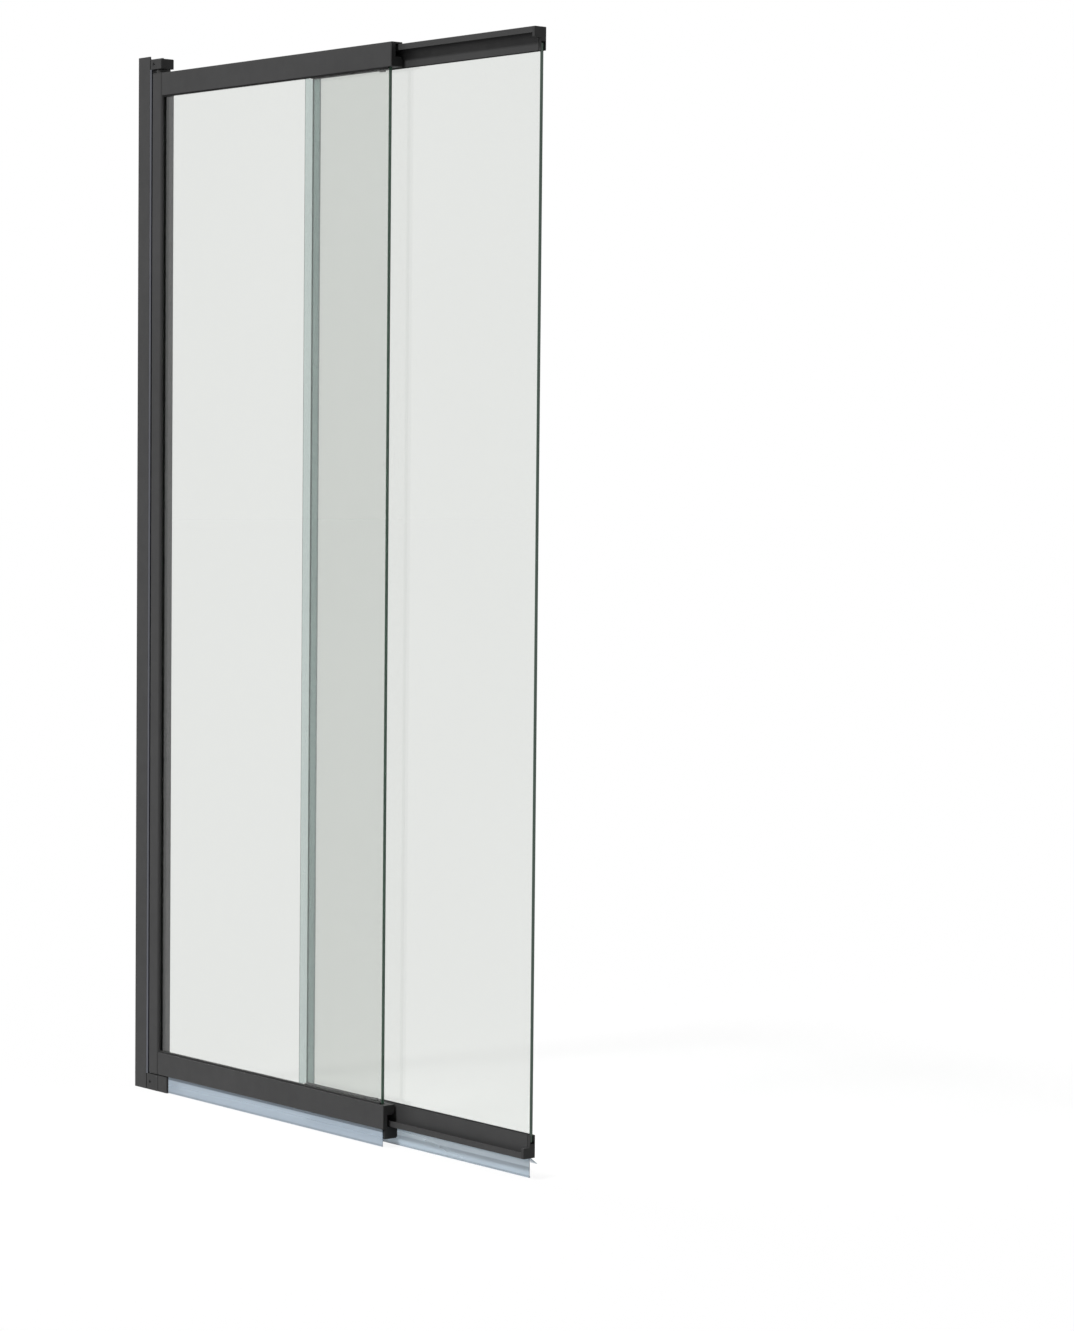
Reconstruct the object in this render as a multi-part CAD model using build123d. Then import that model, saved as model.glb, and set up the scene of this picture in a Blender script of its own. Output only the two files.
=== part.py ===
from build123d import *
import math
import os

# Wall-hung bath screen with a pivoting glass panel and a second glass panel that slides behind it.
# Millimetres. X runs from the wall along the screen, Z up, and the origin is the foot of the wall face.
# Y = 0 is the pivot axis. The front of the screen faces -Y and the bath is behind it, towards +Y.

# Whole screen
screen_height = 1500.0
system_depth = 24.0
pivot_panel_reach = 600.0
sliding_panel_width = 486.0
shown_overlap = 204.5
glass_thickness = 5.0
glass_arris = 0.4

# Wall channel and the adjusting profile inside it
channel_reach = 29.0
channel_wall = 2.0
adjust_back_gap = 5.0
adjust_wall = 1.6
slide_in_gap = 0.3
wall_hole_radius = 2.75
wall_hole_inset = 150.0
side_screw_inset = 120.0
side_screw_x = 19.0

# Hinge line
pivot_x = 46.0
pin_radius = 3.0
pin_running_gap = 0.05
pin_seat_gap = 0.02
cap_drop = 4.5
cap_height = 14.3
cap_back_inset = 1.8
cap_reach = 57.3
cap_edge_radius = 1.2
pin_end_wall = 4.0
pin_chamfer = 0.5
pin_end_gap = 0.2
spigot_length = 15.0
spigot_barb_gap = 1.5
foot_height = 23.3
foot_reach = 82.0
hinge_head_start = 30.3
hinge_head_trim = 0.25
panel_floor_gap = 1.5
top_gap = 5.8
collar_radius = 10.2
collar_gap = 0.6
collar_chamfer = 0.4
foot_toe_inset = 0.4
foot_toe_radius = 2.5
foot_step_x = 58.5
plug_flange = 2.0
plug_depth = 18.0
plug_gap = 0.15

# Hinge stile
stile_left = 35.0
stile_right = 59.5
stile_wall = 1.8
stile_lip = 4.2
stile_lip_radius = 3.5
stile_glass_bite = 4.7
stile_slot_gap = 0.3
stile_back_radius = 2.5
stile_rear_radius = 0.8
stile_sweep_gap = 0.45
seal_horn_gap = 0.5
barb_depth = 1.2
weld = 0.2

# Rails of the pivoting panel, section heights counted from the edge next to the glass
rail_height = 32.5
rail_roof_step = 0.5
rail_wall = 2.0
rail_inner_wall = 1.6
rail_joint_gap = 0.4
front_gasket = 3.0
rear_gasket = 2.0
gasket_nose = 0.4
gasket_rounding = 0.8
stile_gasket_rounding = 0.3
gasket_end_gap = 0.2
glass_bite = 10.0
setting_block = 1.6
setting_block_length = 40.0
lobe_depth = 7.0
lobe_shoulder = 6.0
lobe_heel = 1.2
lobe_hollow_trim = 2.2
roof_depth = 18.0
roof_thickness = 2.4
screw_port_radius = 1.75
screw_port_setback = 4.0
screw_port_wall = 1.3
edge_radius = 0.6

# Rails of the sliding panel
slider_edge_step = 0.2
slider_wall = 1.4
slider_roof = 1.6
slider_gasket = 0.6
slider_lip_depth = 11.0
slider_lip_height = 7.8
slider_lip_bead = 0.9
track_gap = 0.5
panel_gap = 2.2
guide_face_depth = 6.7

# Ends of the panels
end_plate = 2.5
end_cap_plate = 4.4
end_cap_front_inset = 0.4
end_cap_leg = 6.0
end_cap_tongue = 14.0
guide_length = 47.5
guide_hook_length = 12.0
guide_hook_drop = 3.5
guide_hook_wall = 2.4
guide_prong = 15.0
guide_foot_length = 4.0
guide_foot_drop = 13.2
guide_foot_gap = 0.7
guide_foot_radius = 3.0
guide_foot_setback = 2.6
shoe_length = 30.0
shoe_setback = 2.0
shoe_corner = 1.5
shoe_front_gap = 1.0
shoe_lip_gap = 1.3
shoe_screw_bearing = 6.0
shoe_screw_length = 10.0
glass_end_setback = 11.2
slider_glass_end_setback = 2.4
slider_glass_start_setback = 2.0

# Seals
drip_seal_start = 86.5
drip_seal_floor = 1.5
drip_blade_inset = 0.3
slider_blade_setback = 1.8
drip_groove_inset = 6.0
drip_seal_end_gap = 0.2
drip_seal_end_trim = 2.5
drip_flange = 0.9
drip_blade = 1.1
drip_fin_reach = 12.8
drip_fin_drop = 9.0
drip_fin_root = 1.5
drip_fin_tip = 0.5
drip_fin_wall = 1.2
drip_bead = 1.9
groove_mouth = 2.0
groove_head = 4.4
groove_stem = 0.8
groove_head_height = 0.9
seal_clearance = 0.15
end_block_length = 15.0
end_block_floor = 3.0
side_seal_leg = 18.5
side_seal_wall = 0.8
side_seal_fin = 1.4
side_seal_end_gap = 0.6
fin_rounding_share = 0.4
side_seal_back_share = 0.7
side_seal_gap = 0.4

# Fasteners
screw_shank = 1.7
screw_head = 2.3
screw_head_height = 2.2
screw_length = 20.0
side_screw_head = 3.4
side_screw_shank = 1.9
grub_radius = 2.5
grub_length = 7.0
grub_x = 38.5
fit_gap = 0.05
washer_radius = 6.8
washer_thickness = 1.8
washer_proud_gap = 0.2
socket_depth = 2.2
socket_radius = 1.4
grub_setback = 0.6
head_dome = 0.8
drive_width = 0.7
drive_depth = 1.1
side_screw_end = 2.4
access_gap = 0.5

# Places worked out from the sizes above
front = -system_depth / 2
back = system_depth / 2
panel_floor = foot_height + panel_floor_gap
cap_roof = screen_height - cap_drop
cap_floor = cap_roof - cap_height
panel_roof = cap_floor - top_gap
rail_roof = panel_roof - rail_roof_step
adjust_start = channel_wall + adjust_back_gap
adjust_end = channel_reach + slide_in_gap
adjust_half = back - channel_wall - slide_in_gap

glass1_front = front + rail_wall + front_gasket
glass1_back = glass1_front + glass_thickness
lobe_front = glass1_back + rear_gasket
lobe_back = lobe_front + lobe_depth
roof_back = front + roof_depth
lobe_height = glass_bite + setting_block + rail_inner_wall
roof_under = rail_height - roof_thickness
port_y = lobe_front + screw_port_setback
screw_port_height = lobe_height / 2
drip_groove_y = front + drip_groove_inset

slider_height = rail_height - roof_thickness - track_gap + slider_edge_step
slider_lip_front = front + slider_lip_depth
slider_front = lobe_back + panel_gap
slider_pocket = slider_front + slider_wall
glass2_front = slider_pocket + slider_gasket
glass2_back = glass2_front + glass_thickness
slider_back = glass2_back + slider_gasket + slider_wall
pocket_ceiling = glass_bite + setting_block
slider_blade = slider_pocket + slider_blade_setback

rail_start = stile_right + rail_joint_gap
rail_end = pivot_panel_reach - end_plate
slider_start = pivot_panel_reach - shown_overlap
slider_end = slider_start + sliding_panel_width
slider_rail_end = slider_end - end_cap_plate
glass1_start = stile_right - stile_glass_bite
glass1_end = pivot_panel_reach - glass_end_setback
glass2_start = slider_start + slider_glass_start_setback
glass2_end = slider_end - slider_glass_end_setback
guide_start = rail_end - guide_length + end_plate
shoe_start = slider_start + shoe_setback

TOP = "top"
BOTTOM = "bottom"
rail_edge = {TOP: rail_roof - rail_height, BOTTOM: panel_floor + rail_height}
slider_edge = {
    TOP: rail_roof - roof_thickness - track_gap - slider_height,
    BOTTOM: panel_floor + roof_thickness + track_gap + slider_height,
}


def rect(u0, u1, v0, v1):
    """A rectangle between two corners, in a section's own two axes."""
    return Pos((u0 + u1) / 2, (v0 + v1) / 2) * Rectangle(u1 - u0, v1 - v0)


def disc(u, v, radius):
    return Pos(u, v) * Circle(radius)


def block(x0, x1, y0, y1, z0, z1):
    centre = ((x0 + x1) / 2, (y0 + y1) / 2, (z0 + z1) / 2)
    return Pos(*centre) * Box(x1 - x0, y1 - y0, z1 - z0)


def rod(start, direction, radius, length):
    """A round bar from a point along a direction."""
    return extrude(Plane(origin=start, z_dir=direction) * Circle(radius), length)


def corner(section, u, v, radius):
    """Round the one corner of a section that lies at (u, v)."""
    near = [p for p in section.vertices() if math.hypot(p.X - u, p.Y - v) < 0.01]
    return fillet(near, radius)


def upright(section, z0, z1):
    """Extrude a section drawn in X and Y up the Z axis."""
    return extrude(Pos(0, 0, z0) * section, z1 - z0)


def lengthwise(section, x0, x1, edge, side):
    """Extrude a section drawn in Y and height along X. Heights count away from the glass side."""
    if side == BOTTOM:
        section = mirror(section, about=Plane.XZ)
    plane = Plane(origin=(x0, 0, edge), x_dir=(0, 1, 0), z_dir=(1, 0, 0))
    return extrude(plane * section, x1 - x0)


def level(height, edge, side):
    """The Z of a height counted away from the glass side."""
    return edge + height if side == TOP else edge - height


def wall_holes():
    return [wall_hole_inset, screen_height / 2, screen_height - wall_hole_inset]


def side_screw_levels():
    return [side_screw_inset, screen_height / 2, screen_height - side_screw_inset]


def wall_profile():
    """The channel that is screwed to the wall, open towards the screen."""
    section = rect(0, channel_reach, front, back)
    section -= rect(channel_wall, channel_reach, front + channel_wall, back - channel_wall)
    for y in (front, back):
        section = corner(section, channel_reach, y, edge_radius)
    profile = upright(section, 0, screen_height)
    for z in wall_holes():
        profile -= rod((-1, 0, z), (1, 0, 0), wall_hole_radius, channel_wall + 2)
    for z in side_screw_levels():
        hole_radius = side_screw_shank + slide_in_gap
        profile -= rod((side_screw_x, back - channel_wall - 1, z), (0, 1, 0), hole_radius, channel_wall + 2)
    return profile


def adjusting_profile():
    """The box that slides in the wall channel to make up for a wall that isn't plumb."""
    section = rect(adjust_start, adjust_end, -adjust_half, adjust_half)
    hollow_half = adjust_half - adjust_wall
    section -= rect(adjust_start + adjust_wall, adjust_end - adjust_wall, -hollow_half, hollow_half)
    section -= rect(adjust_end - adjust_wall - 1, adjust_end + 1, -groove_mouth / 2, groove_mouth / 2)
    profile = upright(section, foot_height, cap_floor)
    for z in side_screw_levels():
        start = (side_screw_x, adjust_half - adjust_wall - 1, z)
        profile -= rod(start, (0, 1, 0), side_screw_shank + fit_gap, adjust_wall + 2)
    return profile


def stile_sweep_radius():
    """How far the back corners of the stile reach from the pivot axis as the panel turns."""
    arm = pivot_x - stile_left - stile_back_radius
    return math.hypot(arm, back - stile_back_radius) + stile_back_radius


def hinge_seal():
    """Soft strip with a hollow face that the turning stile runs past."""
    clear_radius = stile_sweep_radius() + stile_sweep_gap
    tip = pivot_x - back - seal_horn_gap
    section = rect(adjust_end, tip, front, back)
    section -= disc(pivot_x, 0, clear_radius)
    stem_half = groove_mouth / 2 - seal_clearance
    section += rect(adjust_end - adjust_wall - weld, adjust_end, -stem_half, stem_half)
    barb_end = adjust_end - adjust_wall - seal_clearance
    section += rect(barb_end - barb_depth, barb_end, -groove_head / 2, groove_head / 2)
    return upright(section, foot_height, cap_floor)


def spigot(z0, z1):
    """The tongue of a hinge end piece inside the adjusting profile."""
    inset = adjust_wall + slide_in_gap
    right = adjust_end - inset - seal_clearance - groove_stem - spigot_barb_gap
    return block(adjust_start + inset, right, -adjust_half + inset, adjust_half - inset, z0, z1)


def top_hinge_cap():
    """Holds the upper pivot pin and closes the top of the wall channel."""
    half = back - hinge_head_trim
    head = rect(hinge_head_start, cap_reach, -half, back - cap_back_inset)
    for y in (-half, back - cap_back_inset):
        head = corner(head, cap_reach, y, edge_radius)
    cap = upright(head, cap_floor, cap_roof)
    top_right = cap.edges().filter_by(Axis.Y).group_by(Axis.Z)[-1].sort_by(Axis.X)[-1]
    cap = fillet(top_right, cap_edge_radius)
    cap += block(adjust_start, hinge_head_start, -adjust_half, adjust_half, cap_floor, cap_roof)
    cap += spigot(cap_floor - spigot_length, cap_floor)
    bore = pin_radius + pin_seat_gap
    cap -= rod((pivot_x, 0, cap_floor - 1), (0, 0, 1), bore, cap_height - pin_end_wall + 1)
    grub_start = (grub_x, -half - 1, cap_floor + cap_height / 2)
    return cap - rod(grub_start, (0, 1, 0), grub_radius + fit_gap, grub_length + 2)


def bottom_pivot_foot():
    """Stands on the bath rim, carries the lower pivot pin and closes the end of the drip seal."""
    half = back - hinge_head_trim
    foot = upright(rect(hinge_head_start, foot_step_x, -half, half), 0, foot_height)
    toe_half = half - foot_toe_inset
    toe = rect(foot_step_x, foot_reach, -toe_half, toe_half)
    for y in (-toe_half, toe_half):
        toe = corner(toe, foot_reach, y, foot_toe_radius)
    foot += upright(toe, 0, foot_height)
    foot += block(adjust_start, hinge_head_start, -adjust_half, adjust_half, 0, foot_height)
    foot += spigot(foot_height, foot_height + spigot_length)
    foot -= rod((pivot_x, 0, pin_end_wall), (0, 0, 1), pin_radius + pin_seat_gap, foot_height)
    seat_depth = washer_seat_depth()
    foot -= rod((pivot_x, 0, foot_height - seat_depth), (0, 0, 1), washer_radius + fit_gap, seat_depth + 1)
    grub_start = (grub_x, -half - 1, foot_height / 2)
    return foot - rod(grub_start, (0, 1, 0), grub_radius + fit_gap, grub_length + 2)


def washer_seat_depth():
    """How deep the thrust washer is let into the foot."""
    return washer_thickness - panel_floor_gap + washer_proud_gap


def pivot_pin(side):
    end_inset = pin_end_wall + pin_end_gap
    if side == TOP:
        length = cap_height - end_inset + top_gap + plug_flange + plug_depth
        pin = rod((pivot_x, 0, cap_roof - end_inset), (0, 0, -1), pin_radius, length)
    else:
        length = foot_height - end_inset + panel_floor_gap + plug_flange + plug_depth / 2
        pin = rod((pivot_x, 0, end_inset), (0, 0, 1), pin_radius, length)
    return chamfer(pin.edges().filter_by(GeomType.CIRCLE), pin_chamfer)


def thrust_washer():
    """Slippery ring let into the foot, on which the panel turns."""
    section = disc(pivot_x, 0, washer_radius) - disc(pivot_x, 0, pin_radius + pin_running_gap)
    ring_floor = foot_height - washer_seat_depth()
    return upright(section, ring_floor, ring_floor + washer_thickness)


def spacer_washer():
    """The black collar that fills the gap under the cap."""
    section = disc(pivot_x, 0, collar_radius) - disc(pivot_x, 0, pin_radius + pin_running_gap)
    collar = upright(section, panel_roof, cap_floor - collar_gap)
    top_circles = collar.edges().filter_by(GeomType.CIRCLE).group_by(Axis.Z)[-1]
    return chamfer(top_circles.sort_by(SortBy.RADIUS)[-1], collar_chamfer)


def hinge_grub_screws():
    """One socket screw in each hinge end piece."""
    screws = []
    for z in (cap_floor + cap_height / 2, foot_height / 2):
        start = (grub_x, front + hinge_head_trim + grub_setback, z)
        screw = rod(start, (0, 1, 0), grub_radius, grub_length - grub_setback)
        key = Plane(origin=start, z_dir=(0, 1, 0)) * RegularPolygon(socket_radius, 6)
        socket = extrude(key, socket_depth)
        screws.append(screw - socket)
    return Compound(screws)


def pan_screw(start, direction, head_radius, shank_radius, length):
    """A screw whose head lies behind the start point and whose shank runs along the direction."""
    way = Vector(*direction)
    base = Vector(*start)
    head = rod(tuple(base - way * screw_head_height), direction, head_radius, screw_head_height)
    rim = head.edges().filter_by(GeomType.CIRCLE).sort_by(lambda e: (e.center() - base).length)[-1]
    head = fillet(rim, head_dome)
    drive = Plane(origin=tuple(base - way * screw_head_height), z_dir=direction)
    head -= extrude(drive * Rectangle(head_radius, drive_width), drive_depth)
    head -= extrude(drive * Rectangle(drive_width, head_radius), drive_depth)
    return head + rod(start, direction, shank_radius, length)


def side_screws():
    """The screws that lock the adjusting profile in the wall channel, on the bath side."""
    reach = channel_wall + adjust_wall + side_screw_end
    return Compound(
        [
            pan_screw((side_screw_x, back, z), (0, -1, 0), side_screw_head, side_screw_shank, reach)
            for z in side_screw_levels()
        ]
    )


def stile_outline():
    section = rect(stile_left, stile_right, front, back)
    for y in (front, back):
        section = corner(section, stile_left, y, stile_back_radius)
    section = corner(section, stile_right, front, stile_lip_radius)
    return corner(section, stile_right, back, stile_rear_radius)


def stile_chambers():
    """The hollow round the pivot and the hollow behind the glass slot."""
    web_left = glass1_start - stile_slot_gap - rail_inner_wall
    main = rect(stile_left + stile_wall, web_left, front + stile_wall, back - stile_wall)
    rear_left = web_left + rail_inner_wall
    rear = rect(rear_left, stile_right - rail_inner_wall, lobe_front + rail_inner_wall, back - stile_wall)
    return main, rear


def hinge_stile():
    """The upright that turns on the pins and holds the left edge of the glass."""
    section = stile_outline()
    for hollow in stile_chambers():
        section -= hollow
    section -= rect(glass1_start - stile_slot_gap, stile_right + 1, front + stile_lip, lobe_front)
    stile = upright(section, panel_floor + plug_flange, panel_roof - plug_flange)
    for side in (TOP, BOTTOM):
        z = level(screw_port_height, rail_edge[side], side)
        stile -= rod((stile_right - 3, port_y, z), (1, 0, 0), screw_shank + slide_in_gap, 4)
        stile -= rod((stile_left - 1, port_y, z), (1, 0, 0), screw_head + access_gap, 4)
    return stile


def pivot_bush(side):
    """Moulded plug in the end of the stile, bored for the pin."""
    main, _ = stile_chambers()
    tongue = offset(main, -plug_gap)
    if side == TOP:
        bush = upright(stile_outline(), panel_roof - plug_flange, panel_roof)
        bush += upright(tongue, panel_roof - plug_flange - plug_depth, panel_roof - plug_flange)
    else:
        bush = upright(stile_outline(), panel_floor, panel_floor + plug_flange)
        bush += upright(tongue, panel_floor + plug_flange, panel_floor + plug_flange + plug_depth)
    return bush - rod((pivot_x, 0, -1), (0, 0, 1), pin_radius + pin_running_gap, screen_height + 2)


def drip_groove(y, height):
    """The undercut groove that a drip seal is pushed into, drawn from the outer face of a rail."""
    stem_end = height - groove_stem
    head_end = stem_end - groove_head_height
    mouth = rect(y - groove_mouth / 2, y + groove_mouth / 2, stem_end, height + access_gap)
    head = rect(y - groove_head / 2, y + groove_head / 2, head_end, stem_end)
    return mouth + head


def rail_section():
    """Front wall, roof, and a hollow lobe behind the glass pocket. Between roof and lobe runs the track."""
    section = rect(front, front + rail_wall, 0, rail_height)
    section += rect(front, roof_back, roof_under, rail_height)
    section += rect(front, lobe_front + rail_inner_wall, pocket_ceiling, lobe_height)
    section += rect(lobe_front, lobe_back, 0, lobe_height)
    section = corner(section, lobe_back, lobe_height, lobe_shoulder)
    section = corner(section, lobe_back, 0, lobe_heel)
    section = corner(section, front, 0, edge_radius)
    section = corner(section, front, rail_height, edge_radius)
    section = corner(section, roof_back, rail_height, edge_radius)
    for hollow in lobe_hollows():
        section -= hollow
    return section - disc(port_y, screw_port_height, screw_port_radius)


def lobe_hollows(shrink=0.0):
    """The two hollows of the lobe, above and below the screw port."""
    side0 = lobe_front + rail_inner_wall + shrink
    side1 = lobe_back - rail_inner_wall - shrink
    web = screw_port_radius + screw_port_wall + shrink
    far = lobe_height - rail_inner_wall - shrink
    return [
        rect(side0, side1, rail_inner_wall + shrink, screw_port_height - web),
        rect(side0, side1 - lobe_hollow_trim, screw_port_height + web, far),
    ]


def pivot_panel_rail(side):
    section = rail_section()
    if side == BOTTOM:
        section -= drip_groove(drip_groove_y, rail_height)
    return lengthwise(section, rail_start, rail_end, rail_edge[side], side)


def gasket_strip(y0, y1, nose, x0, x1, edge, side):
    """A glazing gasket strip with a rounded nose on its visible edge."""
    section = rect(y0, y1, -nose, glass_bite - 1)
    radius = min(gasket_rounding, (y1 - y0) / 3)
    for y in (y0, y1):
        section = corner(section, y, -nose, radius)
    return lengthwise(section, x0, x1, edge, side)


def pivot_gaskets(side):
    start = rail_start + gasket_end_gap
    edge = rail_edge[side]
    outer = gasket_strip(front + rail_wall, glass1_front, gasket_nose, start, glass1_end, edge, side)
    inner = gasket_strip(glass1_back, lobe_front, gasket_nose, start, glass1_end, edge, side)
    return Compound([outer, inner])


def stile_gaskets():
    """The two strips that hold the glass in the stile."""
    z0 = rail_edge[BOTTOM] + seal_horn_gap
    z1 = rail_edge[TOP] - seal_horn_gap
    strips = []
    for y0, y1 in ((front + stile_lip, glass1_front), (glass1_back, lobe_front)):
        section = rect(glass1_start, stile_right, y0, y1)
        for y in (y0, y1):
            section = corner(section, stile_right, y, stile_gasket_rounding)
        strips.append(upright(section, z0, z1))
    return Compound(strips)


def glass_pane(x0, x1, y0, y1, edges):
    z0 = level(glass_bite, edges[BOTTOM], BOTTOM)
    z1 = level(glass_bite, edges[TOP], TOP)
    pane = block(x0, x1, y0, y1, z0, z1)
    return chamfer(pane.edges().filter_by(Axis.Z), glass_arris)


def setting_blocks(x0, x1, y0, y1, edge):
    """Two rubber blocks that carry the weight of a pane in its bottom rail."""
    span = x1 - x0
    blocks = []
    for share in (0.25, 0.75):
        x = x0 + share * span
        z1 = level(glass_bite, edge, BOTTOM)
        half = setting_block_length / 2
        blocks.append(block(x - half, x + half, y0, y1, z1 - setting_block, z1))
    return Compound(blocks)


def rail_screws():
    """The screws from inside the stile into the ports of the two rails."""
    screws = []
    for side in (TOP, BOTTOM):
        start = (stile_right - rail_inner_wall, port_y, level(screw_port_height, rail_edge[side], side))
        screws.append(pan_screw(start, (1, 0, 0), screw_head, screw_shank, screw_length))
    return Compound(screws)


def end_guide(side):
    """Plastic end of a rail: an end plate, plugs in the hollows, and a guide for the sliding rail's lip."""
    plate = rail_section_outline()
    plate -= rect(front + guide_face_depth, back + 1, lobe_height, roof_under)
    guide = lengthwise(plate, rail_end, pivot_panel_reach, rail_edge[side], side)
    inside = front + rail_wall + slide_in_gap
    face = front + guide_face_depth
    run = rect(inside, face, lobe_height + slide_in_gap, roof_under - slide_in_gap)
    guide += lengthwise(run, guide_start, rail_end, rail_edge[side], side)
    pocket = rect(inside, lobe_front - slide_in_gap, slide_in_gap, pocket_ceiling - slide_in_gap)
    guide += lengthwise(pocket, glass1_end + slide_in_gap, rail_end, rail_edge[side], side)
    for prong in lobe_hollows(plug_gap):
        guide += lengthwise(prong, rail_end - guide_prong, rail_end, rail_edge[side], side)
    guide += guide_hook(side)
    if side == BOTTOM:
        guide += guide_foot()
    return guide


def rail_section_outline():
    """The rail's outline with its pocket and hollows filled."""
    section = rect(front, lobe_front + 1, 0, rail_height)
    section += rect(front, roof_back, roof_under, rail_height)
    section += rect(lobe_front, lobe_back, 0, lobe_height)
    section = corner(section, lobe_back, lobe_height, lobe_shoulder)
    section = corner(section, lobe_back, 0, lobe_heel)
    for y, h in ((front, 0), (front, rail_height), (roof_back, rail_height)):
        section = corner(section, y, h, edge_radius)
    return section


def guide_hook(side):
    """A hook at the inner end that passes under the lip and down behind the lobe."""
    leg_front = lobe_back + slide_in_gap
    leg_back = slider_front - track_gap
    bridge_top = lobe_height + slide_in_gap + guide_hook_wall
    bridge = rect(front + guide_face_depth - 1, leg_back, lobe_height + slide_in_gap, bridge_top)
    leg = rect(leg_front, leg_back, -guide_hook_drop, bridge_top)
    return lengthwise(bridge + leg, guide_start, guide_start + guide_hook_length, rail_edge[side], side)


def guide_foot():
    """The shoe below the bottom rail that backs the drip seal and reaches under the sliding rail."""
    foot_front = front + guide_foot_setback
    foot_back = slider_blade - guide_foot_gap
    foot_floor = panel_floor - guide_foot_drop
    heel_roof = panel_floor + roof_thickness - seal_clearance
    section = rect(foot_front, foot_back, foot_floor, panel_floor)
    section += rect(roof_back + slide_in_gap, foot_back, panel_floor, heel_roof)
    section = corner(section, foot_back, foot_floor, guide_foot_radius)
    section = corner(section, foot_back, heel_roof, lobe_heel)
    foot = along_x(section, pivot_panel_reach - guide_foot_length, pivot_panel_reach)
    return foot + block(rail_end, pivot_panel_reach, foot_front, foot_back, panel_floor, heel_roof)


def drip_seal_section(blade_front, stem_y, hang, stem_height):
    """Flange, groove stem, blade and bead of a drip seal in Y and Z, and its back fin apart."""
    blade_back = blade_front + drip_blade
    body = rect(blade_front, stem_y + groove_mouth, hang - drip_flange, hang)
    body += rect(blade_front, blade_back, drip_seal_floor, hang)
    stem_half = groove_mouth / 2 - seal_clearance
    head_half = groove_head / 2 - seal_clearance
    head_floor = hang + stem_height + seal_clearance
    head_roof = hang + stem_height + groove_head_height - seal_clearance
    body += rect(stem_y - stem_half, stem_y + stem_half, hang - weld, head_floor + weld)
    body += rect(stem_y - head_half, stem_y + head_half, head_floor, head_roof)
    bead_z = drip_seal_floor + drip_bead / 2
    body += disc(blade_front + drip_bead / 2, bead_z, drip_bead / 2)
    body += rect(blade_front, blade_front + drip_bead / 2, drip_seal_floor, drip_seal_floor + drip_bead)
    root = hang - drip_flange
    inner_y = blade_back - drip_blade_inset
    tip_y = blade_back + drip_fin_reach
    tip_z = root - drip_fin_drop
    fin = make_face(
        Polyline(
            (inner_y, root), (blade_back + drip_fin_root, root), (tip_y, tip_z + drip_fin_tip), (tip_y, tip_z),
            (inner_y, root - drip_fin_wall), (inner_y, root),
        )
    )
    return body, fin


def along_x(section, x0, x1):
    """Extrude a section drawn in Y and Z along X."""
    plane = Plane(origin=(x0, 0, 0), x_dir=(0, 1, 0), z_dir=(1, 0, 0))
    return extrude(plane * section, x1 - x0)


def pivot_drip_seal():
    blade_front = front + drip_blade_inset
    body, fin = drip_seal_section(blade_front, drip_groove_y, panel_floor, groove_stem)
    foot_start = pivot_panel_reach - guide_foot_length - drip_seal_end_gap
    seal = along_x(body, drip_seal_start, foot_start)
    blade = rect(blade_front, blade_front + drip_blade, drip_seal_floor, panel_floor - guide_foot_gap)
    seal += along_x(blade, foot_start, pivot_panel_reach - drip_seal_end_trim)
    return seal + along_x(fin, drip_seal_start + end_block_length, foot_start)


def drip_seal_end_block():
    """The small stop behind the hinge end of the drip seal."""
    y0 = front + drip_blade_inset + drip_blade + fit_gap
    y1 = drip_groove_y + groove_mouth / 2
    x1 = drip_seal_start + end_block_length - fit_gap
    z0 = drip_seal_floor + drip_bead + end_block_floor
    return block(drip_seal_start, x1, y0, y1, z0, panel_floor - drip_flange - fit_gap)


def slider_floor():
    return slider_edge[BOTTOM] - slider_height


def slider_groove_y():
    return (slider_pocket + slider_back - slider_wall) / 2


def slider_section():
    """Lip, roof, front and back walls and the ceiling of the glass pocket."""
    section = rect(slider_front, slider_pocket, 0, slider_height)
    section += rect(slider_back - slider_wall, slider_back, 0, slider_height)
    section += rect(slider_lip_front, slider_back, slider_height - slider_roof, slider_height)
    lip_back = slider_lip_front + slider_wall
    section += rect(slider_lip_front, lip_back, slider_height - slider_lip_height, slider_height)
    section += rect(slider_front, slider_back, pocket_ceiling, pocket_ceiling + slider_wall)
    section += disc(lip_back, slider_height - slider_lip_height + slider_lip_bead, slider_lip_bead)
    for y, h in ((slider_lip_front, slider_height), (slider_back, slider_height), (slider_back, 0)):
        section = corner(section, y, h, edge_radius)
    return section


def slider_rail(side):
    section = slider_section()
    if side == BOTTOM:
        y = slider_groove_y()
        mouth_floor = slider_height - slider_roof - 1
        section -= rect(y - groove_mouth / 2, y + groove_mouth / 2, mouth_floor, slider_height + 1)
    rail = lengthwise(section, slider_start, slider_rail_end, slider_edge[side], side)
    start = (shoe_screw_x(), slider_front - 1, level(shoe_screw_height(), slider_edge[side], side))
    return rail - rod(start, (0, 1, 0), screw_shank + fit_gap, slider_wall + 2)


def slider_gaskets(side):
    edge = slider_edge[side]
    ends = (glass2_start + gasket_end_gap, glass2_end)
    outer = gasket_strip(slider_pocket, glass2_front, gasket_nose, *ends, edge, side)
    inner = gasket_strip(glass2_back, glass2_back + slider_gasket, gasket_nose, *ends, edge, side)
    return Compound([outer, inner])


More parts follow.
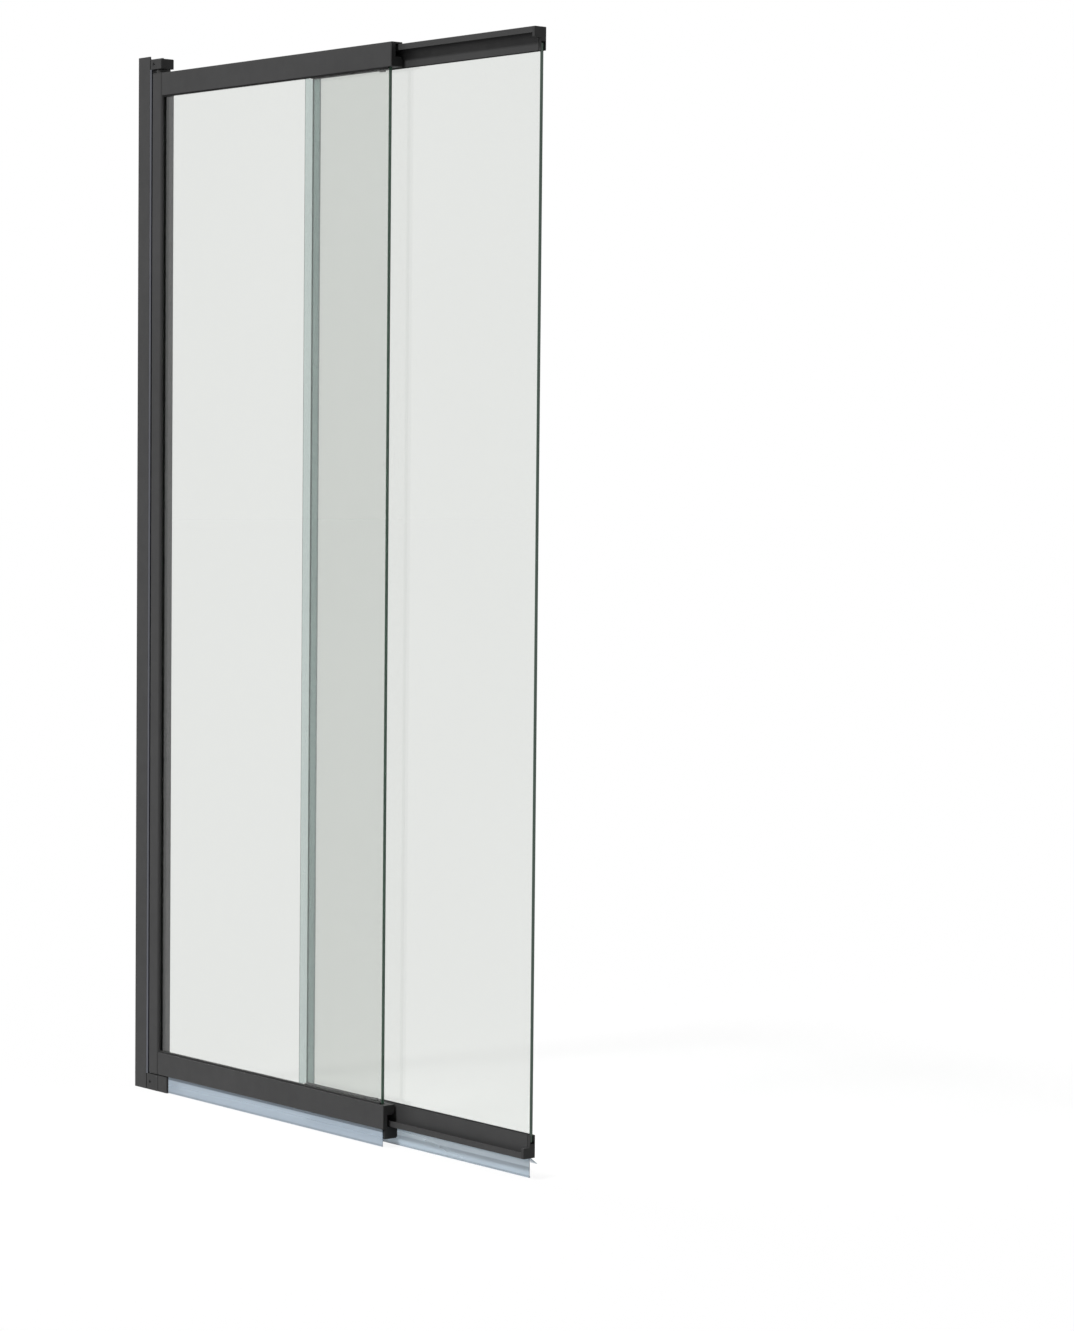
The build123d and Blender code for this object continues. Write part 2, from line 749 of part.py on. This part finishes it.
def slider_end_cap(side):
    """L-shaped cap on the right end of a sliding rail, open where the pane runs into it."""
    cap_front = slider_lip_front + fit_gap
    lip_floor = slider_height - slider_lip_height - end_cap_leg
    section = rect(slider_front + end_cap_front_inset, slider_back, 0, slider_height)
    section += rect(cap_front, slider_back, lip_floor, slider_height)
    for y, h in ((cap_front, slider_height), (slider_back, slider_height), (slider_back, 0)):
        section = corner(section, y, h, edge_radius)
    section = corner(section, cap_front, lip_floor, shoe_corner)
    section -= rect(slider_pocket, slider_back - slider_wall, -1, pocket_ceiling)
    cap = lengthwise(section, slider_rail_end, slider_end, slider_edge[side], side)
    tongue_back = slider_back - slider_wall - plug_gap
    tongue_roof = slider_height - slider_roof - plug_gap - guide_foot_gap - groove_head_height
    tongue_floor = pocket_ceiling + slider_wall + plug_gap
    tongue = rect(slider_pocket + plug_gap, tongue_back, tongue_floor, tongue_roof)
    tongue_start = slider_rail_end - end_cap_tongue
    return cap + lengthwise(tongue, tongue_start, slider_rail_end, slider_edge[side], side)


def shoe_screw_height():
    """Height of the shoe's screw, midway between the lobe of the outer rail and the lip."""
    low = lobe_height + slider_edge_step
    return (low + slider_height - slider_lip_height) / 2


def guide_shoe(side):
    """Plastic shoe at the inner end of a sliding rail, running in the track of the outer rail."""
    low = lobe_height + slider_edge_step + track_gap
    under_lip = slider_height - slider_lip_height - slide_in_gap
    nose = front + rail_wall + shoe_front_gap
    section = rect(nose, slider_front, low, under_lip)
    inside = slider_lip_front + slider_wall + shoe_lip_gap
    section += rect(inside, slider_front, low, slider_height - slider_roof - slide_in_gap)
    for h in (low, under_lip):
        section = corner(section, nose, h, shoe_corner)
    shoe = lengthwise(section, shoe_start, shoe_start + shoe_length, slider_edge[side], side)
    start = (shoe_screw_x(), front, level(shoe_screw_height(), slider_edge[side], side))
    shoe -= rod(start, (0, 1, 0), screw_shank + fit_gap, slider_front - front + 1)
    return shoe - rod(start, (0, 1, 0), screw_head + slide_in_gap, shoe_seat() - front)


def shoe_screw_x():
    return shoe_start + shoe_length / 2


def shoe_seat():
    """Where the head of a shoe's screw bears."""
    return slider_front - shoe_screw_bearing


def shoe_screws():
    screws = []
    for side in (TOP, BOTTOM):
        start = (shoe_screw_x(), shoe_seat(), level(shoe_screw_height(), slider_edge[side], side))
        screws.append(pan_screw(start, (0, 1, 0), screw_head, screw_shank, shoe_screw_length))
    return Compound(screws)


def side_seal():
    """Clip on the inner edge of the sliding pane, with a fin forward to the pivoting pane."""
    z0 = slider_edge[BOTTOM] + side_seal_end_gap
    z1 = slider_edge[TOP] - side_seal_end_gap
    x0 = glass2_start - side_seal_wall - fit_gap
    section = rect(x0, glass2_start - fit_gap, glass2_front - side_seal_wall, glass2_back + side_seal_wall)
    section += rect(x0, glass2_start + side_seal_leg, glass2_front - side_seal_wall, glass2_front)
    back_leg_end = glass2_start + side_seal_leg * side_seal_back_share
    section += rect(x0, back_leg_end, glass2_back, glass2_back + side_seal_wall)
    fin_tip = glass1_back + side_seal_gap
    section += rect(x0, x0 + side_seal_fin, fin_tip, glass2_front)
    for x in (x0, x0 + side_seal_fin):
        section = corner(section, x, fin_tip, side_seal_fin * fin_rounding_share)
    return upright(section, z0, z1)


def slider_drip_seal():
    body, fin = drip_seal_section(slider_blade, slider_groove_y(), slider_floor(), slider_roof)
    return along_x(body + fin, slider_start, slider_rail_end)


parts = {
    "wall_profile": wall_profile(),
    "adjusting_profile": adjusting_profile(),
    "hinge_seal": hinge_seal(),
    "top_hinge_cap": top_hinge_cap(),
    "bottom_pivot_foot": bottom_pivot_foot(),
    "top_pivot_pin": pivot_pin(TOP),
    "bottom_pivot_pin": pivot_pin(BOTTOM),
    "thrust_washer": thrust_washer(),
    "hinge_grub_screws": hinge_grub_screws(),
    "side_screws": side_screws(),
    "hinge_stile": hinge_stile(),
    "top_pivot_bush": pivot_bush(TOP),
    "bottom_pivot_bush": pivot_bush(BOTTOM),
    "spacer_washer": spacer_washer(),
    "pivot_top_rail": pivot_panel_rail(TOP),
    "pivot_bottom_rail": pivot_panel_rail(BOTTOM),
    "pivot_glass": glass_pane(glass1_start, glass1_end, glass1_front, glass1_back, rail_edge),
    "pivot_top_gaskets": pivot_gaskets(TOP),
    "pivot_bottom_gaskets": pivot_gaskets(BOTTOM),
    "stile_gaskets": stile_gaskets(),
    "pivot_setting_blocks": setting_blocks(
        rail_start, glass1_end, glass1_front, glass1_back, rail_edge[BOTTOM]
    ),
    "rail_screws": rail_screws(),
    "top_end_guide": end_guide(TOP),
    "bottom_end_guide": end_guide(BOTTOM),
    "pivot_drip_seal": pivot_drip_seal(),
    "drip_seal_end_block": drip_seal_end_block(),
    "slider_top_rail": slider_rail(TOP),
    "slider_bottom_rail": slider_rail(BOTTOM),
    "slider_glass": glass_pane(glass2_start, glass2_end, glass2_front, glass2_back, slider_edge),
    "slider_top_gaskets": slider_gaskets(TOP),
    "slider_bottom_gaskets": slider_gaskets(BOTTOM),
    "slider_setting_blocks": setting_blocks(
        glass2_start, glass2_end, glass2_front, glass2_back, slider_edge[BOTTOM]
    ),
    "slider_top_end_cap": slider_end_cap(TOP),
    "slider_bottom_end_cap": slider_end_cap(BOTTOM),
    "top_guide_shoe": guide_shoe(TOP),
    "bottom_guide_shoe": guide_shoe(BOTTOM),
    "shoe_screws": shoe_screws(),
    "side_seal": side_seal(),
    "slider_drip_seal": slider_drip_seal(),
}

os.makedirs("parts", exist_ok=True)
for name, shape in parts.items():
    export_step(shape, f"parts/{name}.step")
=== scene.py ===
import math

import bmesh
import bpy
from mathutils import Matrix, Vector


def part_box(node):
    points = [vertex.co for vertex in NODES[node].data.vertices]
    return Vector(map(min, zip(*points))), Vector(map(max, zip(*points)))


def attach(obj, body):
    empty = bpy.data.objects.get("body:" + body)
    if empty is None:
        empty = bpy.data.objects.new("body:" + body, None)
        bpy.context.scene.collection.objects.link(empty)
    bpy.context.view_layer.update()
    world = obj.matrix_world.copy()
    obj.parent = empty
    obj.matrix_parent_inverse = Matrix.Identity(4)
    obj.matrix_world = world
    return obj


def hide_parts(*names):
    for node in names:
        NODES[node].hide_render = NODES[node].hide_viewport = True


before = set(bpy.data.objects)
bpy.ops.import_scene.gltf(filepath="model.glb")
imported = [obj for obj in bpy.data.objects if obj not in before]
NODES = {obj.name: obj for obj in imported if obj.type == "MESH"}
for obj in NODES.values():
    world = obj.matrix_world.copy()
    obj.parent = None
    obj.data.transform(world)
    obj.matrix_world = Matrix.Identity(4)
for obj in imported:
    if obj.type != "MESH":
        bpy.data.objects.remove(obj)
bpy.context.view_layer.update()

# Lengths are in metres. A pane is a hair thinner than its node, so that its faces stay clear of its neighbours.
# A face of a pane is one that looks straight across and is larger than an edge.
PANE_RELIEF = 0.00003
ARRIS_WIDTH = 0.0006
ARRIS_SEGMENTS = 2
ARRIS_ROUNDNESS = 0.6
FACE_LOOKS_ACROSS = 0.99
FACE_LEAST_AREA = 0.01

# Each side's own pieces, its nodes' first word and the body they ride on
SIDES = (("fixed_side", "pivot", "pivot_panel"), ("sliding_side", "slider", "sliding_panel"))

GASKET_NOSE_RADIUS = 0.0008
GASKET_NOSE_SHARE = 0.45
GASKET_NOSE_STEPS = 4
GASKET_STANDS_PROUD = {
    ("fixed_side", "top"): 0.0014,
    ("fixed_side", "bottom"): 0.0022,
    ("sliding_side", "top"): 0.0009,
    ("sliding_side", "bottom"): 0.0016,
}

# Each drip seal has its own tones: its body, the band beside the rail with its start (painted shade on the
# front seal, painted light on the rear one), and how clear it is
FRONT_SEAL_BODY = (0.450, 0.520, 0.590)
# Painted shade: the front seal's band beside the rail is darkened to stand for the rail's shadow
FRONT_SEAL_PAINTED_SHADE = (0.165, 0.205, 0.245)
FRONT_SEAL_PAINTED_SHADE_START = 0.0205
FRONT_SEAL_CLEAR = 0.45
REAR_SEAL_BODY = (0.525, 0.610, 0.680)
# Painted light: the rear seal's band beside the rail is lightened to offset the shadow under the rail's lip
REAR_SEAL_PAINTED_LIGHT = (0.740, 0.840, 0.920)
REAR_SEAL_PAINTED_LIGHT_START = 0.0150
REAR_SEAL_CLEAR = 0.60
SEAL_BEAD_TOP = (0.0038, 0.0048)
SEAL_PAINTED_BAND_BLEND = 0.0010
SEAL_BEAD_SHADE = 0.77
DRAW_LINES_LEVEL = (0.02, 1, 1)
DRAW_LINES_UPRIGHT = (1, 1, 0.02)

# World and floor are white where they are seen, and dimmer where they only light something
WORLD_SEEN = 1.0
WORLD_FILL = 0.22
FLOOR_HEIGHT = -0.0006
FLOOR_REACH = 40
FLOOR_GREY = 0.08
FLOOR_GLOW_SEEN = 0.907
FLOOR_GLOW_UNSEEN = 0.287
BEFORE_FIRST_BOUNCE = 0.5

KEY_TOWARDS = (-0.12, -1.0, 1.32)
KEY_STRENGTH = 3.7
KEY_SPREAD = 8

CAMERA_PLACE = (4.378258, -2.912785, 0.922774)
CAMERA_RIGHT = (0.641303, 0.767221, 0.010066)
CAMERA_UP = (-0.050106, 0.028784, 0.998329)
CAMERA_BACK = (0.765650, -0.640736, 0.056901)
CAMERA_SENSOR = 36
CAMERA_LENS = 96.726
CAMERA_CLIP = (0.1, 100)


# Small helpers for node trees


def wire(nodes, links, kind, inputs=(), **settings):
    """A new node with its settings made and its inputs set or linked."""
    node = nodes.new(kind)
    for key, value in settings.items():
        setattr(node, key, value)
    for key, value in dict(inputs).items():
        if isinstance(value, bpy.types.NodeSocket):
            links.new(value, node.inputs[key])
        else:
            node.inputs[key].default_value = value
    return node


def worked_out(nodes, links, operation, first, second):
    """The result of one sum on two values."""
    return wire(nodes, links, "ShaderNodeMath", {0: first, 1: second}, operation=operation).outputs[0]


def rays_shown(nodes, links):
    """One for rays from the camera, mirrors and glass, and nought for light that reaches a surface."""
    path = wire(nodes, links, "ShaderNodeLightPath").outputs
    total = path["Is Camera Ray"]
    for name in ("Is Glossy Ray", "Is Transmission Ray"):
        total = worked_out(nodes, links, "MAXIMUM", total, path[name])
    direct = worked_out(nodes, links, "LESS_THAN", path["Diffuse Depth"], BEFORE_FIRST_BOUNCE)
    return worked_out(nodes, links, "MULTIPLY", total, direct)


class Tree:
    """A material's nodes, added and wired in one call each."""

    def __init__(self, name):
        self.material = bpy.data.materials.new(name)
        self.material.use_nodes = True
        self.nodes = self.material.node_tree.nodes
        self.links = self.material.node_tree.links
        self.nodes.clear()
        self.output = self.nodes.new("ShaderNodeOutputMaterial")

    def add(self, kind, inputs=(), **settings):
        return wire(self.nodes, self.links, kind, inputs, **settings)

    def place(self):
        return self.add("ShaderNodeTexCoord").outputs["Object"]

    def noise(self, scale, detail, stretch=(1, 1, 1)):
        """Noise in object space, drawn out along an axis by a small stretch value."""
        mapping = self.add("ShaderNodeMapping", {"Vector": self.place(), "Scale": stretch})
        texture = self.add(
            "ShaderNodeTexNoise",
            {"Vector": mapping.outputs["Vector"], "Scale": scale, "Detail": detail},
        )
        return texture.outputs["Fac"]

    def between(self, fac, low, high, edges=(0.3, 0.7)):
        """A value that runs from low to high as fac runs between the edges."""
        node = self.add(
            "ShaderNodeMapRange",
            {"Value": fac, "From Min": edges[0], "From Max": edges[1], "To Min": low, "To Max": high},
        )
        return node.outputs["Result"]

    def varied(self, fac, base, dark, light, edges=(0.3, 0.7)):
        """A base colour that runs from a darker to a lighter shade of itself as fac runs between the edges."""
        ramp = self.add("ShaderNodeValToRGB", {"Fac": fac})
        for stop, position, factor in zip(ramp.color_ramp.elements, edges, (dark, light)):
            stop.position = position
            stop.color = (*shade(base, factor), 1)
        return ramp.outputs["Color"]

    def bump(self, height, strength, distance, normal=None):
        inputs = {"Height": height, "Strength": strength, "Distance": distance}
        if normal is not None:
            inputs["Normal"] = normal
        return self.add("ShaderNodeBump", inputs).outputs["Normal"]

    def mixed(self, first, second, fac, blend="MIX"):
        """Two colours mixed by a share."""
        inputs = {0: fac, 6: first, 7: second}
        return self.add("ShaderNodeMix", inputs, data_type="RGBA", blend_type=blend).outputs[2]

    def principled(self, inputs):
        return self.add("ShaderNodeBsdfPrincipled", inputs).outputs["BSDF"]

    def done(self, shader):
        self.links.new(shader, self.output.inputs["Surface"])
        return self.material

    def lets_lamps_through(self, shader, tint):
        """Lets lamps shine through a clear material, so that it keeps no hard shadow."""
        path = self.add("ShaderNodeLightPath")
        clear = self.add("ShaderNodeBsdfTransparent", {"Color": (*tint, 1)})
        mix = self.add(
            "ShaderNodeMixShader",
            {0: path.outputs["Is Shadow Ray"], 1: shader, 2: clear.outputs["BSDF"]},
        )
        return mix.outputs["Shader"]


def shade(colour, factor):
    return tuple(c * factor for c in colour)


# Materials, one for each slot of the record


def powder_coat():
    t = Tree("black_frame")
    base = (0.041, 0.041, 0.0415)
    cloud = t.noise(7, 4)
    grain = t.noise(1400, 2)
    peel = t.noise(420, 2)
    normal = t.bump(peel, 0.10, 0.0002)
    normal = t.bump(grain, 0.16, 0.00006, normal)
    return t.done(t.principled({
        "Base Color": t.varied(cloud, base, 0.90, 1.08),
        "Roughness": t.between(t.noise(60, 4), 0.42, 0.54),
        "Normal": normal,
        "Specular IOR Level": 0.18,
    }))


def moulded_black():
    t = Tree("black_plastic")
    base = (0.031, 0.0312, 0.0315)
    fine = t.noise(2200, 3)
    flow = t.noise(22, 4, (1, 1, 0.35))
    normal = t.bump(fine, 0.20, 0.00008)
    return t.done(t.principled({
        "Base Color": t.varied(flow, base, 0.88, 1.10),
        "Roughness": t.between(t.noise(90, 4), 0.44, 0.58),
        "Normal": normal,
        "Specular IOR Level": 0.20,
    }))


def moulded_grey():
    t = Tree("grey_plastic")
    base = (0.20, 0.238, 0.255)
    fine = t.noise(1800, 3)
    flow = t.noise(60, 4)
    return t.done(t.principled({
        "Base Color": t.varied(flow, base, 0.85, 1.12),
        "Roughness": t.between(t.noise(160, 3), 0.35, 0.5),
        "Normal": t.bump(fine, 0.15, 0.00008),
        "Specular IOR Level": 0.4,
    }))


def soft_hinge_seal():
    t = Tree("hinge_seal")
    base = (0.088, 0.094, 0.115)
    flow = t.noise(40, 4, (1, 1, 0.05))
    lines = t.noise(900, 2, (1, 1, 0.01))
    return t.done(t.principled({
        "Base Color": t.varied(flow, base, 0.85, 1.12),
        "Roughness": t.between(t.noise(120, 3, (1, 1, 0.1)), 0.30, 0.42),
        "Normal": t.bump(lines, 0.12, 0.0001),
        "Transmission Weight": 0.25,
        "IOR": 1.45,
    }))


def drip_strip(name, body, painted_band, painted_band_start, clear):
    """Milky soft plastic of a drip seal: a painted band beside the rail (painted shade on the front seal,
    painted light against the lip's shadow on the rear one), and a little darker at its bead.
    """
    t = Tree(name)
    bead = shade(body, SEAL_BEAD_SHADE)
    height = t.add("ShaderNodeSeparateXYZ", {"Vector": t.place()}).outputs["Z"]
    low = t.between(height, 0.0, 1.0, SEAL_BEAD_TOP)
    # Mask for the painted band beside the rail: painted shade on the front seal, painted light on the rear seal
    high = t.between(height, 0.0, 1.0, (painted_band_start, painted_band_start + SEAL_PAINTED_BAND_BLEND))
    tones_with_painted_band = t.mixed(t.mixed((*bead, 1), (*body, 1), low), (*painted_band, 1), high)
    haze = t.noise(14, 4, (0.2, 1, 1))
    cloudy = t.varied(haze, (1, 1, 1), 0.94, 1.05, (0.25, 0.75))
    lines = t.noise(700, 2, DRAW_LINES_LEVEL)
    shader = t.principled({
        "Base Color": t.mixed(tones_with_painted_band, cloudy, 1.0, "MULTIPLY"),
        "Roughness": t.between(t.noise(45, 3, DRAW_LINES_LEVEL), 0.20, 0.34),
        "Normal": t.bump(lines, 0.12, 0.0001),
        "Transmission Weight": clear,
        "IOR": 1.42,
    })
    return t.done(t.lets_lamps_through(shader, (0.62, 0.66, 0.70)))


def upright_strip():
    """Clear soft plastic with the faint draw lines of an upright extrusion."""
    t = Tree("clear_seal_upright")
    tint = (0.63, 0.71, 0.70)
    lines = t.noise(700, 2, DRAW_LINES_UPRIGHT)
    haze = t.noise(18, 4, (1, 1, 0.2))
    shader = t.principled({
        "Base Color": t.varied(haze, tint, 0.94, 1.02, (0.25, 0.75)),
        "Roughness": t.between(t.noise(45, 3, DRAW_LINES_UPRIGHT), 0.08, 0.13),
        "Normal": t.bump(lines, 0.10, 0.0001),
        "Transmission Weight": 1.0,
        "IOR": 1.40,
    })
    return t.done(t.lets_lamps_through(shader, shade(tint, 0.95)))


def gasket_rubber():
    t = Tree("black_rubber")
    base = (0.012, 0.012, 0.012)
    lines = t.noise(500, 3, (0.03, 1, 1))
    return t.done(t.principled({
        "Base Color": t.varied(t.noise(70, 4), base, 0.8, 1.3),
        "Roughness": t.between(t.noise(140, 3), 0.60, 0.75),
        "Normal": t.bump(lines, 0.15, 0.0001),
        "Specular IOR Level": 0.3,
    }))


def bearing_plastic():
    t = Tree("white_bearing")
    base = (0.66, 0.66, 0.63)
    rings = t.noise(300, 3)
    return t.done(t.principled({
        "Base Color": t.varied(t.noise(120, 4), base, 0.92, 1.05),
        "Roughness": t.between(rings, 0.35, 0.5),
        "Normal": t.bump(rings, 0.08, 0.0001),
    }))


def turned_steel():
    t = Tree("stainless")
    base = (0.56, 0.565, 0.57)
    turning = t.noise(500, 3, (0.05, 0.05, 1))
    return t.done(t.principled({
        "Base Color": t.varied(t.noise(90, 4), base, 0.9, 1.05),
        "Metallic": 1.0,
        "Roughness": t.between(turning, 0.22, 0.38),
        "Normal": t.bump(turning, 0.12, 0.00005),
    }))


def blackened_steel():
    t = Tree("dark_steel")
    base = (0.06, 0.06, 0.062)
    wear = t.noise(500, 4)
    return t.done(t.principled({
        "Base Color": t.varied(wear, base, 0.7, 1.5, (0.35, 0.7)),
        "Metallic": 0.9,
        "Roughness": t.between(t.noise(350, 3), 0.30, 0.48),
        "Normal": t.bump(wear, 0.1, 0.00005),
    }))


def clear_pane():
    """Toughened glass: clear, very slightly green, with the faint roller wave of the furnace."""
    t = Tree("clear_glass")
    wave = t.noise(3.2, 1, (1, 1, 0.25))
    tint = (0.762, 0.778, 0.758)
    shader = t.principled({
        "Base Color": t.varied(t.noise(2.0, 2), tint, 0.995, 1.005),
        "Roughness": 0.0,
        "Normal": t.bump(wave, 0.04, 0.002),
        "Transmission Weight": 1.0,
        "IOR": 1.5,
    })
    return t.done(t.lets_lamps_through(shader, (0.87, 0.88, 0.87)))


def pane_edge():
    """The ground and polished edge, where the glass shows its green."""
    t = Tree("glass_edge")
    base = (0.068, 0.132, 0.093)
    streaks = t.noise(260, 4, (0.05, 1, 0.05))
    tone = t.noise(5, 3)
    return t.done(t.principled({
        "Base Color": t.varied(tone, base, 0.86, 1.12),
        "Roughness": t.between(streaks, 0.12, 0.28),
        "Normal": t.bump(streaks, 0.08, 0.0001),
        "Specular IOR Level": 0.4,
        "Coat Weight": 0.3,
        "Coat Roughness": 0.05,
    }))


MATERIALS = {
    "black_frame": powder_coat(),
    "black_plastic": moulded_black(),
    "grey_plastic": moulded_grey(),
    "hinge_seal": soft_hinge_seal(),
    "clear_seal": drip_strip(
        "clear_seal", FRONT_SEAL_BODY, FRONT_SEAL_PAINTED_SHADE, FRONT_SEAL_PAINTED_SHADE_START, FRONT_SEAL_CLEAR,
    ),
    "black_rubber": gasket_rubber(),
    "white_bearing": bearing_plastic(),
    "stainless": turned_steel(),
    "dark_steel": blackened_steel(),
    "clear_glass": clear_pane(),
}
NODE_MATERIALS = {
    "slider_drip_seal": drip_strip(
        "clear_seal_rear", REAR_SEAL_BODY, REAR_SEAL_PAINTED_LIGHT, REAR_SEAL_PAINTED_LIGHT_START, REAR_SEAL_CLEAR,
    ),
    "side_seal": upright_strip(),
}
EDGE = pane_edge()


def dress_nodes():
    """Gives each CAD node the material of its slot, or its own where it has one."""
    for name, node in NODES.items():
        slot = node.material_slots[0].material.name.split(".")[0]
        wanted = NODE_MATERIALS.get(name, MATERIALS[slot])
        for held in node.material_slots:
            held.material = wanted


def own_piece(name, work, slot, node, body, *others):
    """Turns finished geometry into a piece that takes a node's place on its body."""
    mesh = bpy.data.meshes.new(name)
    work.to_mesh(mesh)
    work.free()
    piece = bpy.data.objects.new(name, mesh)
    bpy.context.scene.collection.objects.link(piece)
    for material in (MATERIALS[slot], *others):
        mesh.materials.append(material)
    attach(piece, body)
    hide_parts(node)


# The glass panes


def pane(name, node, body):
    """A pane with its polished arris all round, faces clear and edges green."""
    low, high = (Vector(corner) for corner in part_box(node))
    low.y += PANE_RELIEF
    high.y -= PANE_RELIEF
    work = bmesh.new()
    bmesh.ops.create_cube(work, size=1)
    bmesh.ops.scale(work, vec=high - low, verts=work.verts)
    bmesh.ops.translate(work, vec=(low + high) / 2, verts=work.verts)
    bmesh.ops.bevel(
        work, geom=work.edges[:], offset=ARRIS_WIDTH, segments=ARRIS_SEGMENTS, profile=ARRIS_ROUNDNESS,
        affect="EDGES", clamp_overlap=True,
    )
    for face in work.faces:
        across = abs(face.normal.y) > FACE_LOOKS_ACROSS and face.calc_area() > FACE_LEAST_AREA
        face.material_index = 0 if across else 1
    own_piece(name, work, "clear_glass", node, body, EDGE)


# The glazing gaskets


def strip_outline(y0, y1, root, nose):
    """A strip's outline in Y and Z: square at its root, rounded at its nose."""
    radius = min(GASKET_NOSE_RADIUS, (y1 - y0) * GASKET_NOSE_SHARE)
    inward = 1 if root > nose else -1
    quarter = math.pi / 2
    points = [(y0, root)]
    for centre_y, turn in ((y0 + radius, math.pi), (y1 - radius, quarter)):
        for step in range(GASKET_NOSE_STEPS + 1):
            angle = turn - step * quarter / GASKET_NOSE_STEPS
            y = centre_y + radius * math.cos(angle)
            points.append((y, nose + inward * radius * (1 - math.sin(angle))))
    points.append((y1, root))
    return points


def drawn_out(work, outline, x0, x1):
    """A solid strip from one outline, closed at both ends."""
    ends = [[work.verts.new((x, y, z)) for y, z in outline] for x in (x0, x1)]
    count = len(outline)
    for i in range(count):
        j = (i + 1) % count
        work.faces.new((ends[0][i], ends[0][j], ends[1][j], ends[1][i]))
    for end in ends:
        work.faces.new(end)


def gaskets(name, node, glass, body, proud):
    """The two strips beside a pane in one rail, the outer one standing a little prouder."""
    low, high = (Vector(corner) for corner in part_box(node))
    pane_low, pane_high = (Vector(corner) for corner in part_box(glass))
    on_top = low.z > (pane_low.z + pane_high.z) / 2
    root, nose = (high.z, low.z) if on_top else (low.z, high.z)
    outer_nose = nose - proud if on_top else nose + proud
    work = bmesh.new()
    drawn_out(work, strip_outline(low.y, pane_low.y, root, outer_nose), low.x, high.x)
    drawn_out(work, strip_outline(pane_high.y, high.y, root, nose), low.x, high.x)
    bmesh.ops.recalc_face_normals(work, faces=work.faces)
    own_piece(name, work, "black_rubber", node, body)


# Floor, world, lamp and camera


def white_world():
    """White where it is seen, and dimmer where it lights a surface."""
    world = bpy.data.worlds.new("studio")
    bpy.context.scene.world = world
    world.use_nodes = True
    nodes, links = world.node_tree.nodes, world.node_tree.links
    nodes.clear()
    out = nodes.new("ShaderNodeOutputWorld")
    strength = wire(
        nodes, links, "ShaderNodeMapRange",
        {"Value": rays_shown(nodes, links), "To Min": WORLD_FILL, "To Max": WORLD_SEEN},
    )
    background = wire(
        nodes, links, "ShaderNodeBackground",
        {"Color": (1, 1, 1, 1), "Strength": strength.outputs["Result"]},
    )
    links.new(background.outputs["Background"], out.inputs["Surface"])


def pale_floor():
    """A floor that glows white where it is seen and still takes the part's soft shadow."""
    t = Tree("floor")
    lit = t.add("ShaderNodeBsdfDiffuse", {"Color": (FLOOR_GREY, FLOOR_GREY, FLOOR_GREY, 1)})
    strength = t.add(
        "ShaderNodeMapRange",
        {"Value": rays_shown(t.nodes, t.links), "To Min": FLOOR_GLOW_UNSEEN, "To Max": FLOOR_GLOW_SEEN},
    )
    glow = t.add("ShaderNodeEmission", {"Color": (1, 1, 1, 1), "Strength": strength.outputs["Result"]})
    both = t.add("ShaderNodeAddShader", {0: lit.outputs["BSDF"], 1: glow.outputs["Emission"]})
    mesh = bpy.data.meshes.new("floor")
    signs = ((-1, -1), (1, -1), (1, 1), (-1, 1))
    corners = [(x * FLOOR_REACH, y * FLOOR_REACH, FLOOR_HEIGHT) for x, y in signs]
    mesh.from_pydata(corners, [], [(0, 1, 2, 3)])
    floor = bpy.data.objects.new("floor", mesh)
    bpy.context.scene.collection.objects.link(floor)
    mesh.materials.append(t.done(both.outputs["Shader"]))


def key_lamp():
    """A very soft sun, reached by shadow rays alone so that the glass doesn't pass its light on twice."""
    data = bpy.data.lights.new("key", "SUN")
    data.energy = KEY_STRENGTH
    data.angle = math.radians(KEY_SPREAD)
    data.cycles.use_multiple_importance_sampling = False
    lamp = bpy.data.objects.new("key", data)
    bpy.context.scene.collection.objects.link(lamp)
    lamp.rotation_euler = Vector(KEY_TOWARDS).to_track_quat("Z", "Y").to_euler()


def camera():
    data = bpy.data.cameras.new("camera")
    data.sensor_fit = "AUTO"
    data.sensor_width = CAMERA_SENSOR
    data.lens = CAMERA_LENS
    data.clip_start, data.clip_end = CAMERA_CLIP
    eye = bpy.data.objects.new("camera", data)
    bpy.context.scene.collection.objects.link(eye)
    axes = (Vector(CAMERA_RIGHT), Vector(CAMERA_UP), Vector(CAMERA_BACK))
    turn = Matrix(axes).transposed().to_4x4()
    eye.matrix_world = Matrix.Translation(CAMERA_PLACE) @ turn
    bpy.context.scene.camera = eye


dress_nodes()
for side, panel, body in SIDES:
    pane(f"{side}_pane", f"{panel}_glass", body)
for level in ("top", "bottom"):
    for side, panel, body in SIDES:
        proud = GASKET_STANDS_PROUD[side, level]
        gaskets(f"{side}_{level}_gaskets", f"{panel}_{level}_gaskets", f"{panel}_glass", body, proud)
white_world()
pale_floor()
key_lamp()
camera()
bpy.context.scene.view_settings.view_transform = "Standard"
